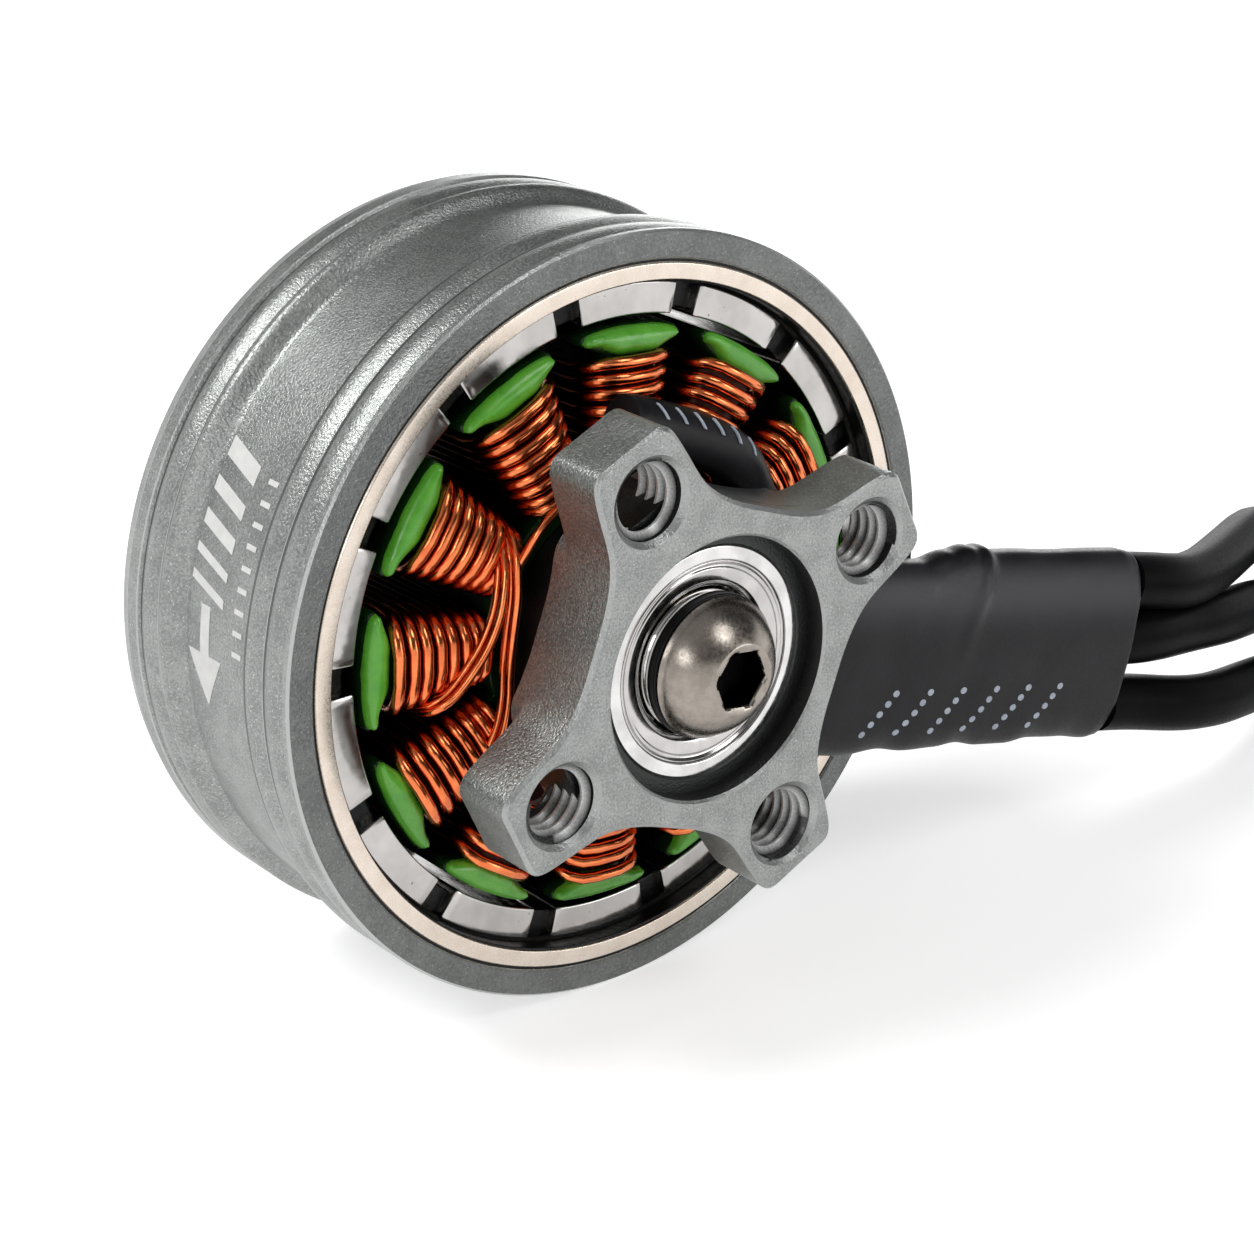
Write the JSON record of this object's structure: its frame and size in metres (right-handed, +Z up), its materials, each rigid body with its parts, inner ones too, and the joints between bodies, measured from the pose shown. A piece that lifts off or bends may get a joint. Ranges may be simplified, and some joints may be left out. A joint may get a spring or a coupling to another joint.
{
  "type": "brushless drone motor",
  "caption": "Outrunner motor with a spinning bell, threaded propeller stud, four-arm threaded mounting base, copper windings on green teeth and three black phase leads.",
  "frame": {"origin": "centre of the four mounting holes, on the mounting face, on the shaft axis", "axes": "the mounting face looks along -Y, the shaft runs along +Y to the propeller stud, +Z is up as the motor lies on its bell, and the leads leave towards +X"},
  "size_m": [0.0933, 0.0535, 0.0304],
  "materials": {
    "anodised_aluminium": "bead-blasted, gunmetal anodised",
    "bearing_steel": "polished",
    "cage_brass": "pressed",
    "green_epoxy": "glossy epoxy coat over steel laminations",
    "enamelled_copper": "enamelled wire, glossy",
    "shrink_black": "satin heat-shrink tube",
    "lead_silicone": "satin silicone insulation",
    "tinned_copper": "tinned strands",
    "tie_nylon": "matte",
    "ring_nickel": "nickel plated, turned",
    "magnet_nickel": "nickel plated",
    "shaft_steel": "ground",
    "screw_black_nickel": "dark nickel plated"
  },
  "bodies": {
    "stator": {"mounting_base": "anodised_aluminium", "front_bearing_outer_race": "bearing_steel", "front_bearing_shields": "bearing_steel", "rear_bearing_outer_race": "bearing_steel", "rear_bearing_shields": "bearing_steel", "stator_core": "green_epoxy", "winding_01": "enamelled_copper", "winding_02": "enamelled_copper", "winding_03": "enamelled_copper", "winding_04": "enamelled_copper", "winding_05": "enamelled_copper", "winding_06": "enamelled_copper", "winding_07": "enamelled_copper", "winding_08": "enamelled_copper", "winding_09": "enamelled_copper", "winding_10": "enamelled_copper", "winding_11": "enamelled_copper", "winding_12": "enamelled_copper", "winding_tails": "enamelled_copper", "upper_sleeve": "shrink_black", "lower_sleeve": "shrink_black", "middle_sleeve": "shrink_black", "shrink_tube": "shrink_black", "lead_a": "lead_silicone", "lead_b": "lead_silicone", "lead_c": "lead_silicone", "lead_a_coil": "lead_silicone", "lead_b_coil": "lead_silicone", "lead_c_coil": "lead_silicone", "lead_a_end": "tinned_copper", "lead_b_end": "tinned_copper", "lead_c_end": "tinned_copper", "coil_tie": "tie_nylon"},
    "rotor": {"bell": "anodised_aluminium", "flux_ring": "ring_nickel", "magnet_01": "magnet_nickel", "magnet_02": "magnet_nickel", "magnet_03": "magnet_nickel", "magnet_04": "magnet_nickel", "magnet_05": "magnet_nickel", "magnet_06": "magnet_nickel", "magnet_07": "magnet_nickel", "magnet_08": "magnet_nickel", "magnet_09": "magnet_nickel", "magnet_10": "magnet_nickel", "magnet_11": "magnet_nickel", "magnet_12": "magnet_nickel", "magnet_13": "magnet_nickel", "magnet_14": "magnet_nickel", "shaft": "shaft_steel", "retaining_screw": "screw_black_nickel", "retaining_washer": "screw_black_nickel", "rear_spacer": "bearing_steel", "front_bearing_inner_race": "bearing_steel", "rear_bearing_inner_race": "bearing_steel"},
    "front_balls": {"front_bearing_balls": "bearing_steel", "front_bearing_cage": "cage_brass"},
    "rear_balls": {"rear_bearing_balls": "bearing_steel", "rear_bearing_cage": "cage_brass"}
  },
  "joints": [
    {"name": "rotor_spin", "type": "hinge", "parent": "stator", "child": "rotor", "pos_m": [0, 0, 0], "axis": [0, 1, 0], "continuous": true},
    {"name": "front_balls_roll", "type": "hinge", "parent": "stator", "child": "front_balls", "pos_m": [0, 0.0029, 0], "axis": [0, 1, 0], "continuous": true},
    {"name": "rear_balls_roll", "type": "hinge", "parent": "stator", "child": "rear_balls", "pos_m": [0, 0.0123, 0], "axis": [0, 1, 0], "continuous": true}
  ],
  "couplings": [
    {"joint": "front_balls_roll", "follows": "rotor_spin", "ratio": 0.3769},
    {"joint": "rear_balls_roll", "follows": "rotor_spin", "ratio": 0.3769}
  ]
}
